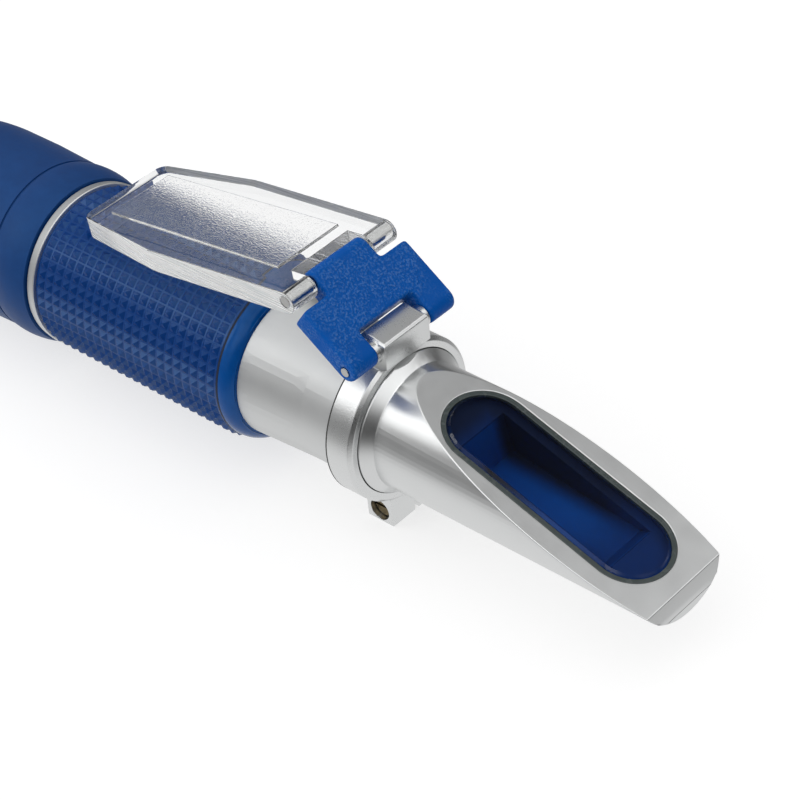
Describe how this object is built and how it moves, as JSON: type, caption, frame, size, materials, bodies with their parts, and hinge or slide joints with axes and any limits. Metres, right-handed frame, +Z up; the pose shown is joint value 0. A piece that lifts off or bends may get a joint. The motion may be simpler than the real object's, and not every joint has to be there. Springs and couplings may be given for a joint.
{
  "type": "handheld refractometer",
  "caption": "Handheld refractometer: slanted prism face under a hinged clear plate, clamped barrel with a blue grip, and a turning rubber eyecup that focuses the eyepiece.",
  "frame": {"origin": "on the optical axis, in the middle of the bare cylindrical land of the barrel", "axes": "+X along the optical axis towards the prism tip, +Z up towards the hinge, Y across along the hinge pins"},
  "size_m": [0.1635, 0.0322, 0.046],
  "materials": {
    "satin_aluminium": "satin, fine turned grain",
    "black_aluminium": "black anodised, matt",
    "blue_moulding": "fine moulded grain",
    "blue_gloss": "gloss",
    "blue_grip": "soft, diamond pattern",
    "navy_rubber": "dull",
    "clear_acrylic": "polished, with a frosted pad",
    "optical_glass": "polished",
    "steel": "ground",
    "brass": "turned",
    "seal_compound": "smooth",
    "navy_backing": "matt",
    "black_shim": "matt"
  },
  "bodies": {
    "barrel": {"barrel_tube": "satin_aluminium", "front_grip_ring": "blue_gloss", "grip_sleeve": "blue_grip", "rear_grip_ring": "satin_aluminium", "hinge_collar": "satin_aluminium", "collar_screw": "brass", "prism_housing": "satin_aluminium", "prism": "optical_glass", "prism_seal": "seal_compound", "prism_backing": "navy_backing", "barrel_seal": "seal_compound", "housing_screws": "steel", "strip_anchor": "black_aluminium", "strip_clamp": "steel", "anchor_screws": "steel", "reticle_holder": "black_aluminium", "field_stop": "black_shim", "scale_reticle": "optical_glass", "reticle_ring": "black_aluminium", "focus_circlip": "steel", "guide_screw": "steel"},
    "bracket": {"hinge_bracket": "blue_moulding", "bracket_pin": "steel"},
    "plate": {"daylight_plate": "clear_acrylic", "plate_pin": "steel"},
    "focus_ring": {"focus_sleeve": "black_aluminium", "focus_nut": "brass", "eyecup": "navy_rubber"},
    "ocular": {"ocular_cell": "black_aluminium", "eye_lens": "optical_glass", "eye_lens_ring": "black_aluminium", "field_lens": "optical_glass", "field_lens_ring": "black_aluminium"},
    "calibration": {"calibration_screw": "steel", "calibration_clip": "steel"},
    "objective": {"objective_cell": "black_aluminium", "objective_lens": "optical_glass", "objective_ring": "black_aluminium", "bimetal_strip": "brass", "strip_rivets": "steel"}
  },
  "joints": [
    {"name": "bracket_swing", "type": "hinge", "parent": "barrel", "child": "bracket", "pos_m": [0.00764, 0, 0.01656], "axis": [0, 1, 0], "range_deg": [0, 166.6]},
    {"name": "plate_swing", "type": "hinge", "parent": "bracket", "child": "plate", "pos_m": [-0.00351, 0, 0.02524], "axis": [0, 1, 0], "range_deg": [0, 40.2]},
    {"name": "focus_turn", "type": "hinge", "parent": "barrel", "child": "focus_ring", "pos_m": [-0.072, 0, 0], "axis": [1, 0, 0], "range_deg": [-120, 120]},
    {"name": "ocular_slide", "type": "slide", "parent": "barrel", "child": "ocular", "axis": [1, 0, 0], "range_m": [-0.00151, 0.00151]},
    {"name": "calibration_turn", "type": "hinge", "parent": "barrel", "child": "calibration", "pos_m": [-0.0076, 0, 0.012], "axis": [0, 0, 1], "range_deg": [-360, 360]},
    {"name": "objective_tilt", "type": "hinge", "parent": "barrel", "child": "objective", "pos_m": [-0.044, 0, 0.0061], "axis": [0, 1, 0], "range_deg": [-0.64, 0.64]}
  ],
  "couplings": [
    {"joint": "ocular_slide", "follows": "focus_turn", "m_per_rad": -0.0007162},
    {"joint": "objective_tilt", "follows": "calibration_turn", "ratio": 0.001749}
  ]
}
